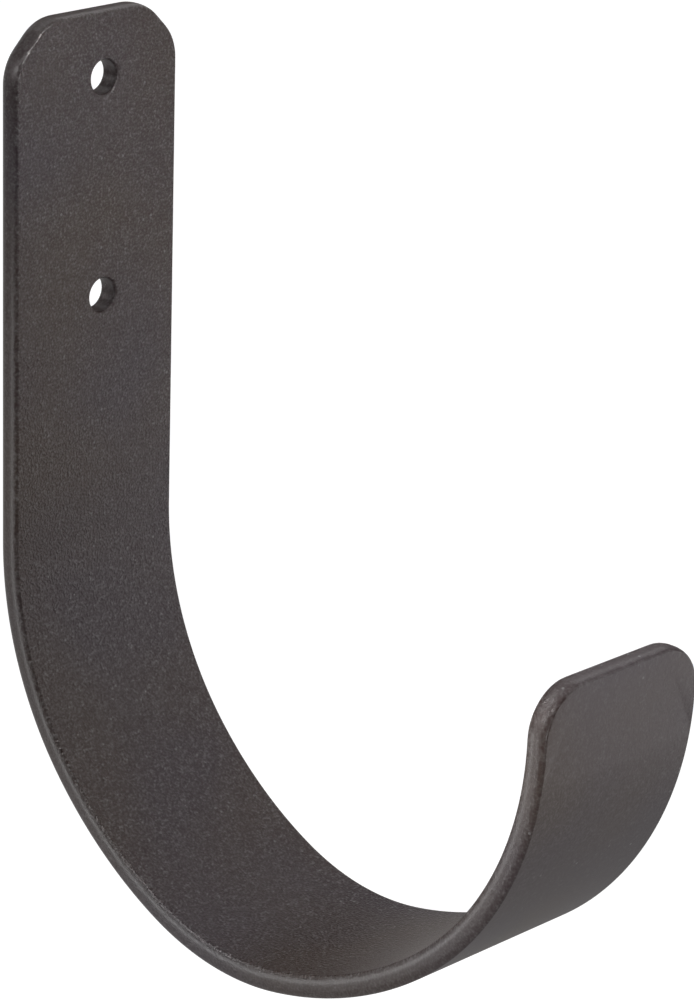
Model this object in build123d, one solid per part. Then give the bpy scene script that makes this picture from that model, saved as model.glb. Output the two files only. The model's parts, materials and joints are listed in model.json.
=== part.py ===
from build123d import *
import os

# Flat wall hook: one length of flat bar, cropped, punched and bent into a J.
# Millimetres. The wall is the plane y = 0, the hook reaches out along -Y and +Z is up.
# The origin is on the wall, midway between the two screw holes.

# Flat bar, measured over its coating
bar_width = 30.0
bar_thickness = 3.2
edge_radius = 0.55          # the rolled bar's eased corners

# Back plate
hole_diameter = 4.8
hole_rim_radius = 0.45      # the coating rounds the rim of each hole
hole_spacing = 31.0
hole_offset = 1.25          # the holes sit this far to the +X side of the bar's middle
top_margin = 9.4            # from the upper hole up to the cropped end
bend_margin = 33.6          # from the lower hole down to where the bend starts
top_corner_crop = 5.75      # 45 degree crop across each top corner
top_corner_radius = 7.0     # rounding at both ends of that crop

# Bend, from the plate to the tip: the inner radius of each stretch, and its sweep in degrees.
# The bar is pulled round a former in five strokes, so the bow is tighter at its foot.
shoulder_radius, shoulder_sweep = 46.0, 40.0
flank_radius, flank_sweep = 55.0, 25.0
foot_radius, foot_sweep = 35.5, 35.0
rise_radius, rise_sweep = 59.0, 27.0
throat_radius, throat_sweep = 45.5, 52.0

# Tip
tip_length = 7.5            # straight stretch past the last bend
tip_corner_radius = 6.8

bends = [
    (shoulder_radius, shoulder_sweep),
    (flank_radius, flank_sweep),
    (foot_radius, foot_sweep),
    (rise_radius, rise_sweep),
    (throat_radius, throat_sweep),
]
plate_top = hole_spacing / 2 + top_margin
bend_start = -hole_spacing / 2 - bend_margin
bar_middle = -hole_offset
same_length = 0.001


def face_line(depth):
    """Side view, as (y, z), of the layer of the bar that lies depth in front of the wall.

    It runs down the plate, through the bends and up to the end of the tip.
    """
    edges = [Line((-depth, plate_top), (-depth, bend_start))]
    for inner_radius, sweep in bends:
        radius = inner_radius + bar_thickness - depth
        edges.append(JernArc(edges[-1] @ 1, edges[-1] % 1, radius, -sweep))
    edges.append(PolarLine(edges[-1] @ 1, tip_length, direction=edges[-1] % 1))
    return edges


def bent_bar():
    """The bar at full width, with square ends and sharp edges."""
    outer = face_line(0)
    inner = face_line(bar_thickness)
    top_end = Line(outer[0] @ 0, inner[0] @ 0)
    tip_end = Line(outer[-1] @ 1, inner[-1] @ 1)
    side_view = make_face(Wire(outer + inner + [top_end, tip_end]))
    return extrude(Plane.YZ.offset(bar_middle) * side_view, bar_width / 2, both=True)


def across(bar):
    """The short straight edges that cross the bar's thickness."""
    return bar.edges().filter_by(lambda edge: abs(edge.length - bar_thickness) < same_length)


def crop_top(bar):
    """Crop the two top corners of the plate, and round both ends of each crop."""
    corners = across(bar).sort_by(Axis.Z)[-2:]
    bar = chamfer(corners, top_corner_crop)
    crop_ends = across(bar).sort_by(Axis.Z)[-4:]
    return fillet(crop_ends, top_corner_radius)


def round_tip(bar):
    """Round the two corners of the tip."""
    end = face_line(bar_thickness / 2)[-1] @ 1
    corners = across(bar).sort_by_distance((bar_middle, end.X, end.Y))[:2]
    return fillet(corners, tip_corner_radius)


def ease_edges(bar):
    """Round the outline of both faces.

    The edges across the thickness stay, and so do those as long as the bar is wide,
    where one bend runs smoothly into the next.
    """
    smooth = bar.edges().filter_by(lambda edge: abs(edge.length - bar_width) < same_length)
    return fillet(bar.edges() - across(bar) - smooth, edge_radius)


def punch_holes(bar):
    """Punch two round screw holes, one above the other, and round their rims."""
    punch = Cylinder(hole_diameter / 2, 3 * bar_thickness, rotation=(90, 0, 0))
    for height in (hole_spacing / 2, -hole_spacing / 2):
        bar -= Pos(0, 0, height) * punch
    circles = bar.edges().filter_by(GeomType.CIRCLE)
    rims = circles.filter_by(lambda edge: abs(edge.radius - hole_diameter / 2) < same_length)
    return fillet(rims, hole_rim_radius)


hook = punch_holes(ease_edges(round_tip(crop_top(bent_bar()))))

os.makedirs("parts", exist_ok=True)
export_step(hook, "parts/hook.step")
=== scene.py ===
# %% [markdown]
# # A flat wall hook
# The real hook is one length of flat steel bar. Its ends are cropped and rounded, two screw
# holes are punched, and the bar is then bent into a J and powder coated. This lesson makes it in
# the same order: a flat blank first, then the bend, then the coat. A CAD model of the hook is
# loaded first, as a fixed frame, so the mesh made here has a place and a size to keep to.

# %% Load the fixed frame
import json
from math import radians

import bpy
from mathutils import Matrix, Vector


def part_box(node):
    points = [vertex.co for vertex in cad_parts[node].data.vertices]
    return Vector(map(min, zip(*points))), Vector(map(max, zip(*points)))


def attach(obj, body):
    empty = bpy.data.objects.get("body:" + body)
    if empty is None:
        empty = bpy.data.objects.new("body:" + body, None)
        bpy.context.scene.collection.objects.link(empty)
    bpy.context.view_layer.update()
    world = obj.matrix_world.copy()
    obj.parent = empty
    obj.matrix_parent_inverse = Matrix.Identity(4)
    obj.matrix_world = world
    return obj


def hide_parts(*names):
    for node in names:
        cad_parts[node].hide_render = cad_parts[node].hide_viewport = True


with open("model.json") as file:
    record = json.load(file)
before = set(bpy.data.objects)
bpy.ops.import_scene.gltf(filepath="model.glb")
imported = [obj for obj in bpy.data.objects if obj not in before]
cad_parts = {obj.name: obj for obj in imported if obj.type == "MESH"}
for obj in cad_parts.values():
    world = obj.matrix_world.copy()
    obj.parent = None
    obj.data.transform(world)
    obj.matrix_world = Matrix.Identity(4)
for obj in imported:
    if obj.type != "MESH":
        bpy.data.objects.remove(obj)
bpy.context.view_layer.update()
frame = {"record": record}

# %% [markdown]
# ## Sizes
# The frame gives the overall sizes: the bar's width, where its top end is, and where the holes
# are. What a box can't say is named here in metres: how thick the bar is, how its corners are
# cropped, and the five strokes of the bend, each with its inner radius and its sweep in degrees.
# The coated edges aren't equally soft both ways: their rounding reaches half a millimetre across
# the broad face, and three times as far down the narrow side.

# %% Sizes of the bar and its bend
low, high = (Vector(corner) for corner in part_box("hook"))
holes = next(mount for mount in frame["record"]["mounts"] if mount["name"] == "screw_holes")

bar_width = high.x - low.x
bar_middle = (high.x + low.x) / 2
bar_thickness = 0.0032
edge_across = 0.0005
edge_down = 0.0015
plate_top = high.z
hole_spacing = holes["dims"]["spacing_y_mm"] / 1000
hole_radius = holes["dims"]["hole_r_mm"] / 1000
hole_rim_radius = 0.00045
bend_margin = 0.0336
bend_start = -hole_spacing / 2 - bend_margin
crop = 0.00575
crop_rounding = 0.007
tip_length = 0.0075
tip_rounding = 0.0068
bends = {
    "Shoulder": (0.046, 40),
    "Flank": (0.055, 25),
    "Foot": (0.0355, 35),
    "Rise": (0.059, 27),
    "Throat": (0.0455, 52),
}
print("bar", round(bar_width * 1000, 2), "x", bar_thickness * 1000, "mm")
print("turned through", sum(sweep for _, sweep in bends.values()), "degrees")

# %% [markdown]
# ## Placing nodes from a script
# A node tree is a drawing of a calculation. These helpers place one node, wire what it needs and
# hand back what it gives, so that each tree below reads as a list of steps.

# %% Helpers for node trees
def feed(tree, socket, value):
    """Wire value into socket if it comes from a node, or set it as the socket's own value."""
    if isinstance(value, bpy.types.NodeSocket):
        tree.links.new(value, socket)
    else:
        socket.default_value = value


def place(tree, kind, inputs=None, **settings):
    """Add a node of this kind with its settings, and feed its inputs by name or number."""
    node = tree.nodes.new(kind)
    for name, value in settings.items():
        setattr(node, name, value)
    for key, value in (inputs or {}).items():
        feed(tree, node.inputs[key], value)
    return node


def give(tree, kind, inputs=None, **settings):
    """Place a node and hand back the first thing it gives."""
    return place(tree, kind, inputs, **settings).outputs[0]


def calc(tree, operation, *values, clamp=False):
    """One Math node. It gives its result, kept between 0 and 1 if asked."""
    numbers = dict(enumerate(values))
    return give(tree, "ShaderNodeMath", numbers, operation=operation, use_clamp=clamp)


# %% [markdown]
# ## One stroke of the bend
# A bar is bent a stretch at a time. Each stretch turns the bar at a steady radius until it has
# gone through its sweep. A bend could be drawn as a curve, but here it is a formula: this small
# tree says how far one stretch carries a point that lies a given length along the bar. All five
# strokes use it, each with its own radius and sweep.

# %% Helper for a tree with named inputs and outputs
def new_tree(name, kind, inputs, outputs):
    """An empty tree with named inputs and outputs. It gives the tree and its two end nodes."""
    tree = bpy.data.node_groups.new(name, kind)
    for direction, sockets in (("INPUT", inputs), ("OUTPUT", outputs)):
        for label, holds in sockets.items():
            socket_type = "NodeSocket" + holds
            tree.interface.new_socket(name=label, in_out=direction, socket_type=socket_type)
    return tree, tree.nodes.new("NodeGroupInput"), tree.nodes.new("NodeGroupOutput")


# %% Node group: one stretch at a steady radius
def one_bend_group():
    inputs = dict.fromkeys(["Along", "Start", "Heading", "Radius", "Sweep"], "Float")
    outputs = dict.fromkeys(["Out", "Up", "Turned", "Next Start", "Next Heading"], "Float")
    tree, given, result = new_tree("One bend", "GeometryNodeTree", inputs, outputs)
    along, start, heading, radius, sweep = (given.outputs[name] for name in inputs)
    into = calc(tree, "DIVIDE", calc(tree, "SUBTRACT", along, start), radius)
    turned = calc(tree, "MINIMUM", calc(tree, "MAXIMUM", into, 0.0), sweep)
    facing = calc(tree, "ADD", heading, turned)
    out = calc(tree, "SUBTRACT", calc(tree, "COSINE", facing), calc(tree, "COSINE", heading))
    up = calc(tree, "SUBTRACT", calc(tree, "SINE", heading), calc(tree, "SINE", facing))
    feed(tree, result.inputs["Out"], calc(tree, "MULTIPLY", out, radius))
    feed(tree, result.inputs["Up"], calc(tree, "MULTIPLY", up, radius))
    feed(tree, result.inputs["Turned"], turned)
    feed(tree, result.inputs["Next Start"], calc(tree, "MULTIPLY_ADD", radius, sweep, start))
    feed(tree, result.inputs["Next Heading"], calc(tree, "ADD", heading, sweep))
    return tree


one_bend = one_bend_group()
print("One bend:", len(one_bend.nodes), "nodes")

# %% [markdown]
# ## Outline of the blank
# The flat blank lies in the XY plane, with its front face at z = 0 and its thickness below. Its
# outline is six corners: two crops at the top and a square tip. Each corner is then rounded with
# its own radius, as a belt sander would. It could be drawn by hand, but worked out from the sizes
# it stays right when one of them changes. It starts as a circle of six points, which is a closed
# curve with the right number of points to move.

# %% Node steps: a curve with rounded corners
corner_steps = 12


def vector(tree, x=0.0, y=0.0, z=0.0):
    """Join three numbers into one vector."""
    return give(tree, "ShaderNodeCombineXYZ", {"X": x, "Y": y, "Z": z})


def polygon(tree, curve, corners, roundings):
    """Put the points of a curve on these corners, and round each corner with its own radius."""
    index = give(tree, "GeometryNodeInputIndex")
    spots = place(tree, "GeometryNodeIndexSwitch", data_type="VECTOR")
    radii = place(tree, "GeometryNodeIndexSwitch", data_type="FLOAT")
    for switch, values in ((spots, corners), (radii, roundings)):
        while len(switch.index_switch_items) < len(values):
            switch.index_switch_items.new()
        feed(tree, switch.inputs["Index"], index)
        for number, value in enumerate(values):
            feed(tree, switch.inputs[number + 1], value)
    moved = {"Geometry": curve, "Position": spots.outputs[0]}
    placed = give(tree, "GeometryNodeSetPosition", moved)
    rounded = {"Curve": placed, "Count": corner_steps, "Radius": radii.outputs[0]}
    return give(tree, "GeometryNodeFilletCurve", rounded, mode="POLY")


# %% [markdown]
# ## Steps along the bar
# Later the bar can only bend where it has points, and a straight side has none between its two
# ends. So each side is measured, and cut into as many equal steps as fit into it.

# %% Node steps: points along the sides
bend_step = 0.001


def cut_long_sides(tree, outline, step):
    """Cut the stretches that run along the bar into equal steps."""
    here = give(tree, "GeometryNodeInputPosition")
    number = give(tree, "GeometryNodeInputIndex")
    totals = place(tree, "GeometryNodeAttributeDomainSize", {0: outline}, component="CURVE")
    count = totals.outputs["Point Count"]
    after = calc(tree, "MODULO", calc(tree, "ADD", number, 1), count)
    asked = {"Index": after, "Value": here}
    following = give(tree, "GeometryNodeFieldAtIndex", asked, data_type="FLOAT_VECTOR")
    span = give(tree, "ShaderNodeVectorMath", {0: following, 1: here}, operation="SUBTRACT")
    along = place(tree, "ShaderNodeSeparateXYZ", {0: span}).outputs["Y"]
    pieces = calc(tree, "ROUND", calc(tree, "DIVIDE", calc(tree, "ABSOLUTE", along), step))
    cuts = calc(tree, "MAXIMUM", calc(tree, "SUBTRACT", pieces, 1), 0)
    return give(tree, "GeometryNodeSubdivideCurve", {"Curve": outline, "Cuts": cuts})


# %% Node steps: the outline of the blank
def blank_outline(tree, size):
    """The outline of the flat blank, counterclockwise from its top left corner."""
    half = calc(tree, "MULTIPLY", size["Bar Width"], 0.5)
    left = calc(tree, "MULTIPLY", half, -1.0)
    top, cut = size["Plate Top"], size["Crop"]
    below_crop = calc(tree, "SUBTRACT", top, cut)
    inside_crop = calc(tree, "SUBTRACT", half, cut)
    bottom = calc(tree, "SUBTRACT", size["Bend Start"], size["Blank Below"])
    corners = [
        vector(tree, calc(tree, "MULTIPLY", inside_crop, -1.0), top),
        vector(tree, left, below_crop),
        vector(tree, left, bottom),
        vector(tree, half, bottom),
        vector(tree, half, below_crop),
        vector(tree, inside_crop, top),
    ]
    roundings = [size["Crop Rounding"], size["Crop Rounding"], size["Tip Rounding"]]
    loop = give(tree, "GeometryNodeCurvePrimitiveCircle", {"Resolution": len(corners)})
    outline = polygon(tree, loop, corners, roundings + roundings[::-1])
    moved = {"Geometry": outline, "Translation": vector(tree, size["Bar Middle"])}
    centred = give(tree, "GeometryNodeTransform", moved)
    return cut_long_sides(tree, centred, size["Step"])


# %% [markdown]
# ## Edge of the bar
# Rolled bar has no sharp edges, and the coat rounds them further. A Bevel modifier would round
# them evenly both ways, and these edges aren't even. So the edge is drawn once, in section, and
# swept round the outline later, which keeps it the same all the way round. Each rounding is a
# Bezier curve. Its two handles stop a fixed share short of the corner they round, and with that
# share the curve follows a quarter of an ellipse.

# %% Node steps: the section of the edge
edge_steps = 10
handle_gap = 0.4477


def join(tree, *parts):
    """Join several geometries into one."""
    node = place(tree, "GeometryNodeJoinGeometry")
    for part in parts:
        tree.links.new(part, node.inputs[0])
    return node.outputs[0]


def quarter_round(tree, begin, begin_handle, end_handle, end):
    """A quarter of an ellipse, from its two ends and the two handles that round it."""
    inputs = {"Resolution": edge_steps, "Start": begin, "End": end}
    inputs.update({"Start Handle": begin_handle, "End Handle": end_handle})
    return give(tree, "GeometryNodeCurvePrimitiveBezierSegment", inputs, mode="POSITION")


def edge_section(tree, thickness, across, down):
    """The edge in section: round from the front face to the side, and again to the back.

    The rounding reaches this far across each face, and this far down the side.
    """
    face = calc(tree, "MULTIPLY", across, -1.0)
    face_handle = calc(tree, "MULTIPLY", across, -handle_gap)
    side_handle = calc(tree, "MULTIPLY", down, handle_gap)
    low = calc(tree, "SUBTRACT", thickness, down)
    low_handle = calc(tree, "SUBTRACT", thickness, side_handle)
    front = [
        vector(tree, face),
        vector(tree, face_handle),
        vector(tree, 0.0, side_handle),
        vector(tree, 0.0, down),
    ]
    back = [
        vector(tree, 0.0, low),
        vector(tree, 0.0, low_handle),
        vector(tree, face_handle, thickness),
        vector(tree, face, thickness),
    ]
    ends = {"Start": front[-1], "End": back[0]}
    side = give(tree, "GeometryNodeCurvePrimitiveLine", ends)
    return join(tree, quarter_round(tree, *front), side, quarter_round(tree, *back))


# %% [markdown]
# ## Punching the screw holes
# On the real bar a punch takes out two round slugs. Here nothing has to be cut out: a flat face
# is filled between the outline and two circles, so the holes are simply never filled. The circles
# run the other way round from the outline, which keeps the bar's material on the same side of
# every curve.

# %% Node steps: the circles of the holes
hole_points = 96


def hole_circles(tree, size, grown=0.0):
    """Two circles, one for each screw hole, made larger by this much."""
    radius = calc(tree, "ADD", size["Hole Radius"], grown)
    round_hole = {"Resolution": hole_points, "Radius": radius}
    circle = give(tree, "GeometryNodeCurvePrimitiveCircle", round_hole)
    clockwise = give(tree, "GeometryNodeReverseCurve", {"Curve": circle})
    first = vector(tree, 0.0, calc(tree, "MULTIPLY", size["Hole Spacing"], 0.5))
    onward = vector(tree, 0.0, calc(tree, "MULTIPLY", size["Hole Spacing"], -1.0))
    spots = {"Count": 2, "Start Location": first, "Offset": onward}
    both = {"Points": give(tree, "GeometryNodeMeshLine", spots), "Instance": clockwise}
    copies = give(tree, "GeometryNodeInstanceOnPoints", both)
    return give(tree, "GeometryNodeRealizeInstances", {"Geometry": copies})


# %% [markdown]
# ## Closing the blank
# The edge's section is swept round the outline, and a rounder one round each hole. That leaves
# the two broad faces. The front is filled between the inner lines of those sweeps, and the back
# is a copy of it, lowered by the bar's thickness and turned over. Points that meet are then
# merged, which makes the blank one closed skin.

# %% Node steps: walls and faces of the blank
merge_distance = 2e-6


def flat(tree, curve):
    """Turn the normals of a curve to lie in the XY plane, across its run."""
    return give(tree, "GeometryNodeSetCurveNormal", {"Curve": curve}, mode="Z_UP")


def sweep_along(tree, curve, section):
    """Carry a section along a curve, which gives a wall."""
    swept = {"Curve": curve, "Profile Curve": section}
    return give(tree, "GeometryNodeCurveToMesh", swept)


def blank(tree, size):
    """The flat blank: its walls, the rims of its holes, its front face and its back face."""
    thickness, rim = size["Bar Thickness"], size["Rim Radius"]
    outline = flat(tree, blank_outline(tree, size))
    holes = flat(tree, hole_circles(tree, size))
    section = edge_section(tree, thickness, size["Edge Across"], size["Edge Down"])
    walls = sweep_along(tree, outline, section)
    rims = sweep_along(tree, holes, edge_section(tree, thickness, rim, rim))

    sideways = place(tree, "GeometryNodeInputNormal").outputs["Normal"]
    pulled = {0: sideways, "Scale": calc(tree, "MULTIPLY", size["Edge Across"], -1.0)}
    inset = give(tree, "ShaderNodeVectorMath", pulled, operation="SCALE")
    inner_line = give(tree, "GeometryNodeSetPosition", {"Geometry": outline, "Offset": inset})
    borders = join(tree, inner_line, hole_circles(tree, size, rim))
    front = give(tree, "GeometryNodeFillCurve", {"Curve": borders}, mode="TRIANGLES")
    below = vector(tree, 0.0, 0.0, calc(tree, "MULTIPLY", thickness, -1.0))
    lowered = give(tree, "GeometryNodeTransform", {"Geometry": front, "Translation": below})
    back = give(tree, "GeometryNodeFlipFaces", {"Mesh": lowered})
    merged = {"Geometry": join(tree, walls, rims, front, back), "Distance": merge_distance}
    return give(tree, "GeometryNodeMergeByDistance", merged)


# %% [markdown]
# ## Bending the blank
# Every point of the blank knows how far along the bar it lies and how deep under the front face.
# Its length is passed through the five strokes in turn, which gives a place on the front face and
# the direction that the bar has there. The depth is then measured off at a right angle to that
# direction, so the bar keeps its thickness all the way round, as steel does. A Curve modifier
# could bend the blank too, but this way each radius and sweep stays a size that can be changed.

# %% Node steps: carry each point round the bends
def bend(tree, shell, size):
    """Bend the blank. Its flat coordinates stay on it as the attribute blank."""
    spot = give(tree, "GeometryNodeInputPosition")
    inputs = {"Geometry": shell, "Name": "blank", "Value": spot}
    kept = give(tree, "GeometryNodeStoreNamedAttribute", inputs, data_type="FLOAT_VECTOR")
    across, height, lift = place(tree, "ShaderNodeSeparateXYZ", {0: spot}).outputs
    depth = calc(tree, "MULTIPLY", lift, -1.0)
    along = calc(tree, "SUBTRACT", size["Bend Start"], height)

    out = calc(tree, "MULTIPLY", size["Bar Thickness"], -1.0)
    up = calc(tree, "SUBTRACT", size["Bend Start"], calc(tree, "MINIMUM", along, 0.0))
    turned = start = heading = 0.0
    for name in bends:
        sizes = {"Along": along, "Start": start, "Heading": heading}
        sizes.update({"Radius": size[name + " Radius"], "Sweep": size[name + " Sweep"]})
        stroke = place(tree, "GeometryNodeGroup", sizes, node_tree=one_bend).outputs
        out = calc(tree, "ADD", out, stroke["Out"])
        up = calc(tree, "ADD", up, stroke["Up"])
        turned = calc(tree, "ADD", turned, stroke["Turned"])
        start, heading = stroke["Next Start"], stroke["Next Heading"]

    past = calc(tree, "MAXIMUM", calc(tree, "SUBTRACT", along, start), 0.0)
    out = calc(tree, "SUBTRACT", out, calc(tree, "MULTIPLY", calc(tree, "SINE", heading), past))
    up = calc(tree, "SUBTRACT", up, calc(tree, "MULTIPLY", calc(tree, "COSINE", heading), past))
    out = calc(tree, "MULTIPLY_ADD", calc(tree, "COSINE", turned), depth, out)
    up = calc(tree, "SUBTRACT", up, calc(tree, "MULTIPLY", calc(tree, "SINE", turned), depth))
    bent = vector(tree, across, out, up)
    return give(tree, "GeometryNodeSetPosition", {"Geometry": kept, "Position": bent})


# %% [markdown]
# ## The whole tree
# The steps are now put in order inside one tree, with every size as a named input. The blank's
# length isn't an input: it is the five strokes and the tip laid end to end, worked out inside, so
# a wider bend asks for a longer bar.

# %% The tree's named sizes
size_values = {
    "Bar Width": bar_width,
    "Bar Thickness": bar_thickness,
    "Bar Middle": bar_middle,
    "Edge Across": edge_across,
    "Edge Down": edge_down,
    "Plate Top": plate_top,
    "Crop": crop,
    "Crop Rounding": crop_rounding,
    "Hole Spacing": hole_spacing,
    "Hole Radius": hole_radius,
    "Rim Radius": hole_rim_radius,
    "Bend Start": bend_start,
    "Tip Length": tip_length,
    "Tip Rounding": tip_rounding,
    "Step": bend_step,
}
for name, (radius, sweep) in bends.items():
    size_values[name + " Radius"] = radius
    size_values[name + " Sweep"] = radians(sweep)
print(len(size_values), "sizes")


# %% Build the hook's tree
def hook_tree():
    inputs = dict.fromkeys(size_values, "Float")
    inputs["Coat"] = "Material"
    tree, given, result = new_tree("Flat hook", "GeometryNodeTree", inputs, {"Hook": "Geometry"})
    size = {name: given.outputs[name] for name in inputs}
    length = size["Tip Length"]
    for name in bends:
        stroke = (size[name + " Radius"], size[name + " Sweep"])
        length = calc(tree, "MULTIPLY_ADD", *stroke, length)
    size["Blank Below"] = length
    bent = bend(tree, blank(tree, size), size)
    smooth = give(tree, "GeometryNodeSetShadeSmooth", {"Geometry": bent})
    finish = {"Geometry": smooth, "Material": size["Coat"]}
    coated = give(tree, "GeometryNodeSetMaterial", finish)
    whole = give(tree, "GeometryNodeRealizeInstances", {"Geometry": coated})
    feed(tree, result.inputs["Hook"], whole)
    return tree


flat_hook = hook_tree()
print("Flat hook:", len(flat_hook.nodes), "nodes")

# %% [markdown]
# ## Grain of the coat
# The bar is powder coated: charged paint powder is blown on and baked until it flows. It doesn't
# flow quite flat, so the skin keeps a fine grain. A grain like this has no direction and doesn't
# stretch over the bend, so it is made from noise in plain Object coordinates instead of being
# wrapped on with a map. The noise sits in a node group with the grain's width as an input, so
# one group makes the fine grain, the coarse grain and the slow change of tone.

# %% Node group: grain of one size
def grain_group():
    """Noise that swings to both sides of zero, from grains of a named width."""
    inputs = {"Place": "Vector", "Width": "Float"}
    tree, given, result = new_tree("Grain", "ShaderNodeTree", inputs, {"Swing": "Float"})
    scale = calc(tree, "DIVIDE", 1.0, given.outputs["Width"])
    settings = {"Vector": given.outputs["Place"], "Scale": scale, "Detail": 1.0, "Roughness": 0.5}
    noise = give(tree, "ShaderNodeTexNoise", settings)
    feed(tree, result.inputs["Swing"], calc(tree, "MULTIPLY_ADD", noise, 2.0, -1.0))
    return tree


grain = grain_group()
print("Grain:", len(grain.nodes), "nodes")

# %% [markdown]
# ## Flakes in the coat
# A few metallic flakes lie near the skin. They are far apart and have no order. A mosaic of
# fine cells, each with its own chance colour, gives that: only the cells under a small share of
# chance keep a flake, and it covers the middle of its cell. Their glint is painted: each flake
# is later given a lighter colour than the coat, which shows however it is lit.

# %% Node group: sparse metallic flakes
flake_reach = 0.4


def flake_group():
    """A mask of small bright flakes: a few cells of a fine mosaic, picked by chance."""
    inputs = {"Place": "Vector", "Width": "Float", "Share": "Float"}
    tree, given, result = new_tree("Flakes", "ShaderNodeTree", inputs, {"Mask": "Float"})
    scale = calc(tree, "DIVIDE", 1.0, given.outputs["Width"])
    mosaic = {"Vector": given.outputs["Place"], "Scale": scale}
    cells = place(tree, "ShaderNodeTexVoronoi", mosaic).outputs
    chance = give(tree, "ShaderNodeSeparateColor", {0: cells["Color"]})
    picked = calc(tree, "LESS_THAN", chance, given.outputs["Share"])
    centre = calc(tree, "LESS_THAN", cells["Distance"], flake_reach)
    feed(tree, result.inputs["Mask"], calc(tree, "MULTIPLY", picked, centre))
    return tree


flakes = flake_group()
print("Flakes:", len(flakes.nodes), "nodes")

# %% [markdown]
# ## Where the coat changes
# The coat isn't the same all round the bar. Its grain stands proudest on the broad front face,
# and along the rounded edges the molten powder draws thin and sets smoother. A spot's depth
# under the front face tells these places apart. The flat coordinates that the bend left on the
# mesh hold that depth as a negative height, so both masks follow the bar round the bend.

# %% Node steps: masks for the front face and for the rounded edges
front_fade = 0.0006
edge_begins = 0.0001
edge_fade = 0.0005


def front_mask(tree, lift):
    """One on the front face, falling to zero a little way down the sides."""
    return calc(tree, "MULTIPLY_ADD", lift, 1 / front_fade, 1.0, clamp=True)


def edge_mask(tree, lift):
    """One on the rounded edges, and zero on both faces and along the middle of the sides."""
    off_middle = calc(tree, "ABSOLUTE", calc(tree, "ADD", lift, bar_thickness / 2))
    inside = calc(tree, "SUBTRACT", bar_thickness / 2, off_middle)
    off_face = calc(tree, "MULTIPLY", inside, 1 / edge_begins, clamp=True)
    reach = edge_down / edge_fade
    off_side = calc(tree, "MULTIPLY_ADD", inside, -1 / edge_fade, reach, clamp=True)
    return calc(tree, "MULTIPLY", off_face, off_side)


# %% [markdown]
# ## Colour of the coat
# From a step away the coat is one dark grey. Closer up, it drifts between charcoal and bronze
# over a few centimetres, and each grain is a little lighter or darker than the next. That second
# change is a neutral grey added to the base, not a multiple of it, because a multiple would make
# the light grains look red. A power of the grain makes light grains stand out more than dark
# ones. The fine grain is fainter away from the front face.

# %% Node steps: the mottle of the grain
fine_width = 0.00036
coarse_width = 0.0009
coarse_share = 0.3
side_share = 0.55


def grains(tree, spot, width):
    """The grain group at one width."""
    return give(tree, "ShaderNodeGroup", {"Place": spot, "Width": width}, node_tree=grain)


def mottle_of(tree, spot, front):
    """Fine and coarse grain together."""
    share = calc(tree, "MULTIPLY_ADD", front, 1 - side_share, side_share)
    fine = calc(tree, "MULTIPLY", grains(tree, spot, fine_width), share)
    return calc(tree, "MULTIPLY_ADD", grains(tree, spot, coarse_width), coarse_share, fine)


# %% Node steps: the colour of the coat
charcoal = (0.0452, 0.0336, 0.0372, 1.0)
bronze = (0.0502, 0.0354, 0.0304, 1.0)
# The flakes' lighter colour is a painted glint, the same under any lamp.
flake_glint_colour = (0.150, 0.140, 0.140, 1.0)
tone_width = 0.025
tone_middle = 0.5
tone_swing = 1.6
grain_contrast = 12.0
grain_tone = 0.036
flake_width = 0.0005
flake_share = 0.004


def blend_colours(tree, mask, first, second):
    """The first colour where the mask is zero, and the second where it is one.

    A Mix node has sockets for every kind of value. Its colours go in at 6 and 7, and out at 2.
    """
    colours = {0: mask, 6: first, 7: second}
    return place(tree, "ShaderNodeMix", colours, data_type="RGBA").outputs[2]


def coat_colour(tree, spot, mottle):
    """A drifting base, speckled by the grain, with flakes laid over it as painted glints."""
    slow = grains(tree, spot, tone_width)
    tone = calc(tree, "MULTIPLY_ADD", slow, tone_swing, tone_middle)
    base = blend_colours(tree, tone, charcoal, bronze)
    strength = calc(tree, "POWER", grain_contrast, mottle)
    speckle = calc(tree, "MULTIPLY_ADD", strength, grain_tone, -grain_tone)
    speckled = give(tree, "ShaderNodeVectorMath", {0: base, 1: speckle}, operation="ADD")
    sizes = {"Place": spot, "Width": flake_width, "Share": flake_share}
    flake = give(tree, "ShaderNodeGroup", sizes, node_tree=flakes)
    return blend_colours(tree, flake, speckled, flake_glint_colour)


# %% [markdown]
# ## The coat as a material
# The mottle drives three things at once, as a real grain does: a light grain also stands proud
# and is a little rougher. It is low relief, a tenth of a millimetre at most, so a Bump node is
# enough and the mesh stays plain. What is the same everywhere is set on the shader's own socket.

# %% Material: powder coat over steel
roughness = 0.5
grain_roughness = 0.2
edge_smoothing = 0.12
grain_height = 0.0001
side_relief = 0.2


def coat_bump(tree, mottle, front):
    """The grain's relief, lower away from the front face."""
    relief = calc(tree, "MULTIPLY_ADD", front, 1 - side_relief, side_relief)
    height = calc(tree, "MULTIPLY", mottle, relief)
    inputs = {"Strength": 1.0, "Distance": grain_height, "Height": height}
    return give(tree, "ShaderNodeBump", inputs)


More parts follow.
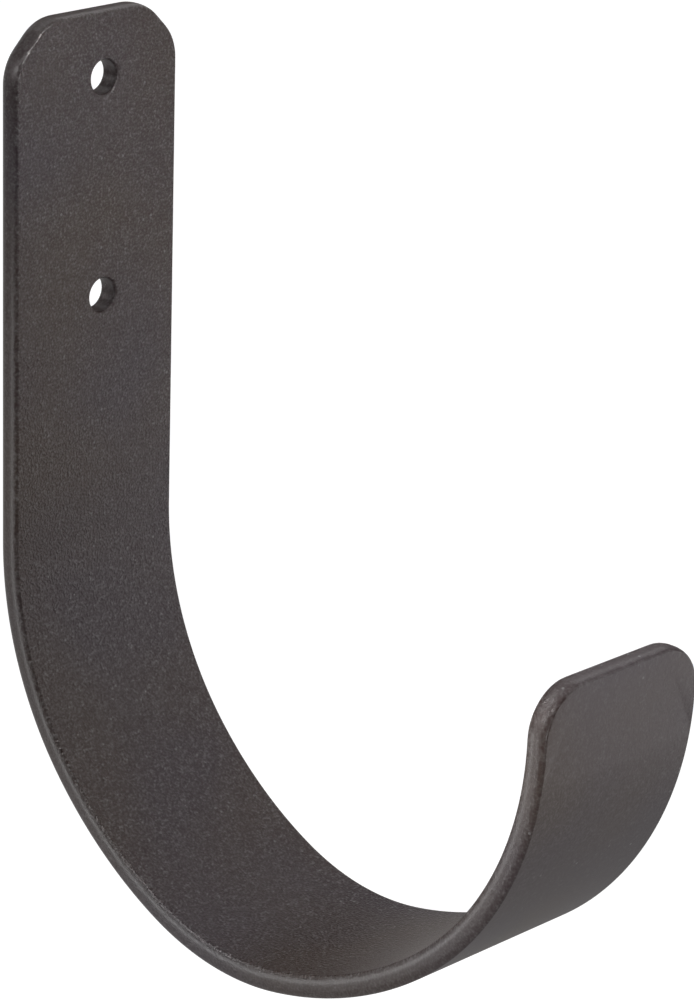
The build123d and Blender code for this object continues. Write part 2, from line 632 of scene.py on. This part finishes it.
def coat_material():
    material = bpy.data.materials.new("coated steel")
    material.use_nodes = True
    tree = material.node_tree
    tree.nodes.clear()
    spot = place(tree, "ShaderNodeTexCoord").outputs["Object"]
    flat_spot = place(tree, "ShaderNodeAttribute", attribute_name="blank").outputs["Vector"]
    lift = place(tree, "ShaderNodeSeparateXYZ", {0: flat_spot}).outputs["Z"]
    front = front_mask(tree, lift)
    mottle = mottle_of(tree, spot, front)
    rough = calc(tree, "MULTIPLY_ADD", mottle, grain_roughness, roughness)
    inputs = {
        "Base Color": coat_colour(tree, spot, mottle),
        "Roughness": calc(tree, "MULTIPLY_ADD", edge_mask(tree, lift), -edge_smoothing, rough),
        "Normal": coat_bump(tree, mottle, front),
        "IOR": 1.5,
        "Specular IOR Level": 0.24,
    }
    shader = give(tree, "ShaderNodeBsdfPrincipled", inputs)
    output = place(tree, "ShaderNodeOutputMaterial")
    feed(tree, output.inputs[0], shader)
    return material


coat = coat_material()
print("Coat:", len(coat.node_tree.nodes), "nodes")

# %% [markdown]
# ## Making the piece
# The tree is run once on an empty mesh, with the sizes set on its modifier. A Weighted Normal
# modifier follows, so that the broad faces stay flat and only the rounded edges turn the light.
# The result is copied out as a plain mesh, which stands in for the CAD model's plain shape.

# %% Run the tree and keep the mesh
def make_piece(name, group, values):
    """Run a tree with these inputs, and keep what it makes as a plain mesh."""
    maker = bpy.data.objects.new(name + ".tree", bpy.data.meshes.new(name + ".tree"))
    bpy.context.scene.collection.objects.link(maker)
    modifier = maker.modifiers.new("tree", "NODES")
    modifier.node_group = group
    asked = [item for item in group.interface.items_tree if item.in_out == "INPUT"]
    sockets = {item.name: item.identifier for item in asked}
    for label, value in values.items():
        modifier[sockets[label]] = value
    weighted = maker.modifiers.new("weighted", "WEIGHTED_NORMAL")
    weighted.weight = 100
    graph = bpy.context.evaluated_depsgraph_get()
    mesh = bpy.data.meshes.new_from_object(maker.evaluated_get(graph), depsgraph=graph)
    bpy.data.objects.remove(maker)
    mesh.name = name
    piece = bpy.data.objects.new(name, mesh)
    bpy.context.scene.collection.objects.link(piece)
    return piece


hook = make_piece("bent_hook", flat_hook, {**size_values, "Coat": coat})
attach(hook, "root")
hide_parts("hook")
print("bent_hook:", len(hook.data.vertices), "points,", len(hook.data.polygons), "faces")

# %% [markdown]
# ## Camera
# The camera stands in front of the hook, to its left and a little above it, with a long lens,
# which keeps the near tip from looming over the plate. It could be made to track a point, but
# three plain angles say more about the view: which way it looks round the vertical, how far
# down, and how much it rolls.

# %% Camera
def point_camera(position, heading, lowered, roll, lens):
    """A camera in this place. At rest it would look straight down, so it is tipped up first."""
    look = Matrix.Rotation(-heading, 3, "Z") @ Matrix.Rotation(-lowered, 3, "X")
    turn = look @ Matrix.Rotation(radians(90), 3, "X") @ Matrix.Rotation(roll, 3, "Z")
    data = bpy.data.cameras.new("camera")
    data.lens = lens
    data.sensor_width = 36
    data.clip_start = 0.01
    camera = bpy.data.objects.new("camera", data)
    camera.matrix_world = Matrix.Translation(position) @ turn.to_4x4()
    bpy.context.scene.collection.objects.link(camera)
    bpy.context.scene.camera = camera
    return camera


camera = point_camera(
    position=Vector((-0.37281, -0.39907, 0.14525)),
    heading=radians(46.945),
    lowered=radians(19.288),
    roll=radians(1.691),
    lens=146.21,
)
print("looking along", [round(value, 4) for value in -camera.matrix_world.col[2].xyz])

# %% [markdown]
# ## Studio
# The hook hangs in the air above a white floor, in an even white room. In a real studio a white
# background gets lamps of its own, which here would also light the hook. Light Path does it
# without them: only the camera, reflections and clear materials see the room at full white,
# while the light that it throws stays soft. The floor adds nearly the same white to its own
# shading, so a shadow still shows on it. Its paper is grey underneath, so that it throws little
# light back up at the hook.

# %% White for the camera, soft for the hook
def seen_directly(tree):
    """One where a ray comes from the camera, a reflection or a clear material, else zero."""
    ray = place(tree, "ShaderNodeLightPath").outputs
    mirrored = calc(tree, "ADD", ray["Is Glossy Ray"], ray["Is Transmission Ray"])
    return calc(tree, "ADD", ray["Is Camera Ray"], mirrored)


def paper_material(shade, glow):
    """Paper of this shade that shows this much brighter than it is lit."""
    material = bpy.data.materials.new("paper")
    material.use_nodes = True
    tree = material.node_tree
    shader = tree.nodes["Principled BSDF"]
    shader.inputs["Base Color"].default_value = (shade, shade, shade, 1.0)
    shader.inputs["Roughness"].default_value = 0.9
    strength = calc(tree, "MULTIPLY", seen_directly(tree), glow)
    emission = give(tree, "ShaderNodeEmission", {"Strength": strength})
    both = give(tree, "ShaderNodeAddShader", {0: shader.outputs[0], 1: emission})
    feed(tree, tree.nodes["Material Output"].inputs[0], both)
    return material


# %% Floor
def add_floor(height, size):
    mesh = bpy.data.meshes.new("floor")
    half = size / 2
    square = [(-half, -half), (half, -half), (half, half), (-half, half)]
    mesh.from_pydata([(x, y, height) for x, y in square], [], [(0, 1, 2, 3)])
    mesh.materials.append(paper_material(shade=0.25, glow=0.95))
    floor = bpy.data.objects.new("floor", mesh)
    bpy.context.scene.collection.objects.link(floor)
    return floor


floor = add_floor(height=-0.30, size=8.0)
print("floor", floor.data.vertices[0].co.z, "m high")


# %% Room
def add_room(light):
    """An even white world that throws only this much light.

    The Mix node's plain numbers go in at 2 and 3.
    """
    world = bpy.data.worlds.new("room")
    world.use_nodes = True
    bpy.context.scene.world = world
    tree = world.node_tree
    tree.nodes.clear()
    strength = give(tree, "ShaderNodeMix", {0: seen_directly(tree), 2: light, 3: 1.0})
    white = {"Color": (1.0, 1.0, 1.0, 1.0), "Strength": strength}
    background = give(tree, "ShaderNodeBackground", white)
    output = place(tree, "ShaderNodeOutputWorld")
    feed(tree, output.inputs[0], background)
    print("the room throws", light, "of its white")


add_room(light=0.25)

# %% [markdown]
# ## Flags
# A satin coat mirrors whatever stands round it, most of all on rounded edges and where the eye
# grazes along a face. In a studio, black boards called flags are stood where that reflection
# would be too bright, so that an edge is drawn by a dark line. Each flag here is a curved wall
# round the hook, and its shade says how much of the white room it leaves. Behind the hook, on
# the floor, lies a round mat that fades from grey to nearly white, because a hard edge there
# would show as a line across the tip. Only reflections see the flags and the mat, so they take
# no light away and never stand in front of the camera.

# %% Cloth for the flags and the mat
hook_middle = Vector((0, -0.06, -0.04))


def new_cloth(name):
    """Cloth as bright as its colour says, however it is lit. It gives that colour's socket too."""
    cloth = bpy.data.materials.new(name)
    cloth.use_nodes = True
    tree = cloth.node_tree
    tree.nodes.clear()
    even = place(tree, "ShaderNodeEmission")
    output = place(tree, "ShaderNodeOutputMaterial")
    feed(tree, output.inputs[0], even.outputs[0])
    return cloth, even.inputs["Color"]


def even_cloth(name, shade):
    """Cloth of one shade."""
    cloth, colour = new_cloth(name)
    colour.default_value = (shade, shade, shade, 1.0)
    return cloth


def fading_cloth(name, middle, radius, shade, rim_shade):
    """Cloth that fades from one shade in the middle to another at the rim."""
    cloth, colour = new_cloth(name)
    tree = cloth.node_tree
    spot = place(tree, "ShaderNodeTexCoord").outputs["Object"]
    gap = place(tree, "ShaderNodeVectorMath", {0: spot, 1: middle}, operation="DISTANCE")
    away = gap.outputs["Value"]
    feed(tree, colour, calc(tree, "MULTIPLY_ADD", away, (rim_shade - shade) / radius, shade))
    return cloth


# %% The mat
def add_cloth(name, points, faces, cloth):
    """A piece of the studio that only reflections see."""
    mesh = bpy.data.meshes.new(name)
    mesh.from_pydata(points, [], faces)
    mesh.materials.append(cloth)
    piece = bpy.data.objects.new(name, mesh)
    bpy.context.scene.collection.objects.link(piece)
    piece.visible_camera = False
    piece.visible_diffuse = False
    piece.visible_shadow = False


def round_from(middle, degrees, distance):
    """The point this far from the middle, turned round it from straight in front."""
    return middle + Matrix.Rotation(radians(degrees), 3, "Z") @ Vector((0, -distance, 0))


def add_mat(name, middle, radius, shade, rim_shade, steps=48):
    """A round mat on the floor. It starts dark and fades out towards its rim."""
    points = [round_from(middle, 360 * step / steps, radius) for step in range(steps)]
    cloth = fading_cloth(name, middle, radius, shade, rim_shade)
    add_cloth(name, points, [range(steps)], cloth)
    print(name, radius, "m in radius")


mat_middle = Vector((0.27, 0.15, -0.297))
add_mat("floor mat", middle=mat_middle, radius=0.36, shade=0.35, rim_shade=0.95)


# %% The flags
def add_flag(name, begin, end, low, high, shade, distance=0.5, steps=24):
    """A curved wall round the hook, between two directions and two heights."""
    points = []
    faces = []
    for step in range(steps + 1):
        foot = round_from(hook_middle, begin + (end - begin) * step / steps, distance)
        points += [(foot.x, foot.y, low), (foot.x, foot.y, high)]
    for first in range(0, 2 * steps, 2):
        faces.append((first, first + 1, first + 3, first + 2))
    add_cloth(name, points, faces, even_cloth(name, shade))
    print(name, "from", begin, "to", end, "degrees")


add_flag("front flag", begin=10, end=-92, low=0.0, high=0.32, shade=0.05)
add_flag("low front flag", begin=10, end=-20, low=-0.295, high=-0.13, shade=0.0)
add_flag("grey flag", begin=-20, end=-55, low=-0.295, high=-0.12, shade=0.15)
add_flag("low left flag", begin=-55, end=-92, low=-0.295, high=-0.12, shade=0.0)
add_flag("left flag", begin=-92, end=-150, low=-0.20, high=0.0, shade=0.0)
add_flag("low right flag", begin=10, end=125, low=-0.295, high=-0.10, shade=0.2)
add_flag("right flag", begin=60, end=125, low=-0.10, high=0.32, shade=0.2)
add_flag("upper left flag", begin=-125, end=-175, low=0.25, high=0.60, shade=0.05)
add_flag("rear flag", begin=125, end=160, low=-0.03, high=0.32, shade=0.0)

# %% [markdown]
# ## Lamps
# Each lamp is a square soft box. It is placed as a studio hand would say it: how far round from
# straight in front, how far up or down, and how far away from the middle of the hook. The large
# ones light the whole hook. The one close by on the right grazes along the plate and the bend,
# which brings out the grain. The last three are small and aimed at the rise of the bend or at
# the tip, with a narrower beam, so that they light the edges there and little else.

# %% Soft boxes
def add_softbox(name, round_to, raised, distance, width, watts, aim=hook_middle, spread=180):
    """A square lamp, placed by its distance and two angles from the hook's middle.

    One angle goes round from straight in front, towards the +X side, and the other goes up.
    """
    round_turn = Matrix.Rotation(radians(round_to), 3, "Z")
    lift_turn = Matrix.Rotation(radians(-raised), 3, "X")
    stand = hook_middle + round_turn @ lift_turn @ Vector((0, -distance, 0))
    data = bpy.data.lights.new(name, "AREA")
    data.size = width
    data.energy = watts
    data.spread = radians(spread)
    lamp = bpy.data.objects.new(name, data)
    lamp.location = stand
    lamp.rotation_euler = (aim - stand).to_track_quat("-Z", "Y").to_euler()
    lamp.visible_camera = False
    bpy.context.scene.collection.objects.link(lamp)
    print(name, "at", [round(value, 3) for value in lamp.location])
    return lamp


tip = Vector((-0.012, -0.100, -0.005))
rise = Vector((-0.012, -0.085, -0.045))

add_softbox("front softbox", 42, 35, distance=0.6, width=0.3, watts=1.25)
add_softbox("right softbox", 85, -18, distance=0.17, width=0.08, watts=0.048)
add_softbox("rear right softbox", 120, 38, distance=0.4, width=0.2, watts=0.20)
add_softbox("rear softbox", 180, 65, distance=0.6, width=0.3, watts=0.4)
add_softbox("side light", -123, -18, 0.236, width=0.1, watts=0.026, aim=rise, spread=40)
add_softbox("edge light", -44, -3, 0.333, width=0.08, watts=0.023, aim=tip, spread=30)
add_softbox("tip light", -130, 55, 0.165, width=0.03, watts=0.024, aim=tip, spread=60)

# %% [markdown]
# ## Gleams
# Some edges of the real hook carry a gleam, where the coat is smoother and mirrors a lamp. A lamp
# strong enough for that would also flood the faces next to it. These four are seen by reflections
# only, so each one adds its gleam and no other light. Three of them are aimed at one place each:
# the cropped top corner, the lower edge of the bend, and the foot.

# %% Lamps that only reflections see
def add_gleam(name, round_to, raised, distance, width, watts, aim=hook_middle, spread=180):
    """A soft box that lights nothing and only shows in what mirrors it."""
    lamp = add_softbox(name, round_to, raised, distance, width, watts, aim, spread)
    lamp.visible_diffuse = False


foot = Vector((-0.016, -0.050, -0.090))
low_edge = Vector((-0.016, -0.030, -0.085))
top_corner = Vector((-0.014, -0.003, 0.032))

add_gleam("low right gleam", 48, -15, 0.25, width=0.13, watts=0.185)
add_gleam("corner gleam", -33, 53, 0.255, width=0.05, watts=0.038, aim=top_corner, spread=16)
add_gleam("bend gleam", -85, 48, 0.55, width=0.15, watts=0.04, aim=low_edge, spread=16)
add_gleam("foot gleam", -118, 20, 0.4, width=0.15, watts=0.09, aim=foot, spread=40)

# %% [markdown]
# ## Finish
# The Standard view shows each colour as it was worked out, with no film look laid over it.

# %% Finish
bpy.context.scene.view_settings.view_transform = "Standard"
bpy.context.view_layer.update()
